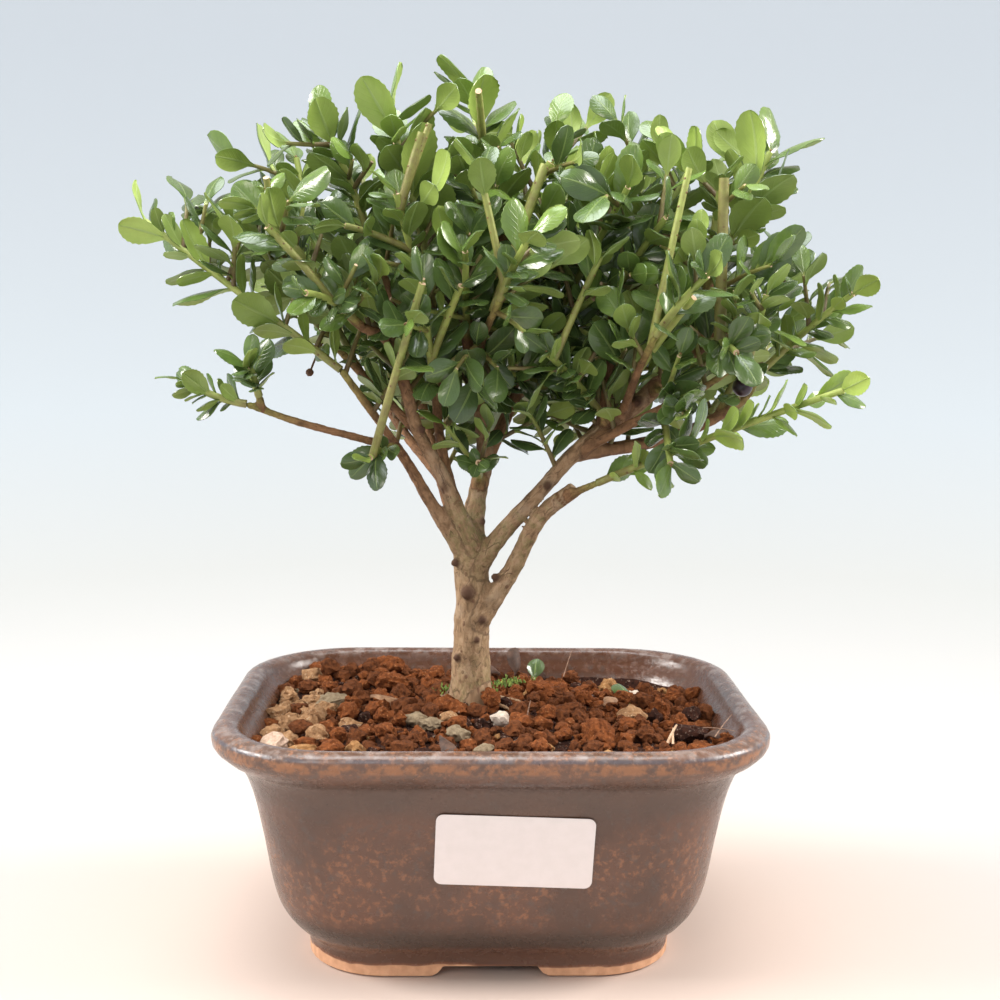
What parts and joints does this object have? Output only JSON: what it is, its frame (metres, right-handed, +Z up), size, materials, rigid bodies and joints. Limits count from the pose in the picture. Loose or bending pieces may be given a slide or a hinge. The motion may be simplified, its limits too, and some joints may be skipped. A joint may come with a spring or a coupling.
{
  "type": "japanese holly bonsai in a glazed pot",
  "caption": "Small broad-crowned evergreen tree with glossy oval leaves on ascending limbs, standing in granular soil in a rounded rectangular glazed pot with a rolled lip and a notched foot.",
  "frame": {"origin": "middle of the pot's base, on the surface that it stands on", "axes": "+Z up along the trunk, -Y towards the pot's front, +X to the right seen from the front"},
  "size_m": [0.2065, 0.1254, 0.2457],
  "materials": {
    "glaze": "satin reddish-brown glaze with rust speckles, bare buff clay at the foot",
    "bark": "dry buff-brown bark with fine upright cracks",
    "foliage": "glossy dark green leaves, paler below, on yellow-green stems",
    "soil": "dry fired-clay granules with some pale pebbles",
    "screen": "moulded",
    "label": "smooth bare sticker",
    "ripe_fruit": "dark berry skin with a soft shine",
    "dried_fruit": "wrinkled and dull"
  },
  "bodies": {
    "root": {"pot": "glaze", "drain_screen_left": "screen", "drain_screen_right": "screen", "soil": "soil", "wood": "bark", "spray_01": "foliage", "spray_02": "foliage", "spray_03": "foliage", "spray_04": "foliage", "spray_05": "foliage", "spray_06": "foliage", "spray_07": "foliage", "spray_08": "foliage", "spray_09": "foliage", "spray_10": "foliage", "spray_11": "foliage", "spray_12": "foliage", "spray_13": "foliage", "spray_14": "foliage", "spray_15": "foliage", "spray_16": "foliage", "spray_17": "foliage", "spray_18": "foliage", "spray_19": "foliage", "spray_20": "foliage", "spray_21": "foliage", "spray_22": "foliage", "spray_23": "foliage", "spray_24": "foliage", "spray_25": "foliage", "spray_26": "foliage", "spray_27": "foliage", "spray_28": "foliage", "spray_29": "foliage", "spray_30": "foliage", "spray_31": "foliage", "spray_32": "foliage", "spray_33": "foliage", "spray_34": "foliage", "spray_35": "foliage", "spray_36": "foliage", "spray_37": "foliage", "spray_38": "foliage", "spray_39": "foliage", "spray_40": "foliage", "spray_41": "foliage", "spray_42": "foliage", "spray_43": "foliage", "spray_44": "foliage", "spray_45": "foliage", "spray_46": "foliage", "spray_47": "foliage", "spray_48": "foliage", "spray_49": "foliage", "spray_50": "foliage", "spray_51": "foliage", "spray_52": "foliage", "berry": "ripe_fruit", "dried_berry": "dried_fruit", "label": "label"}
  },
  "joints": []
}
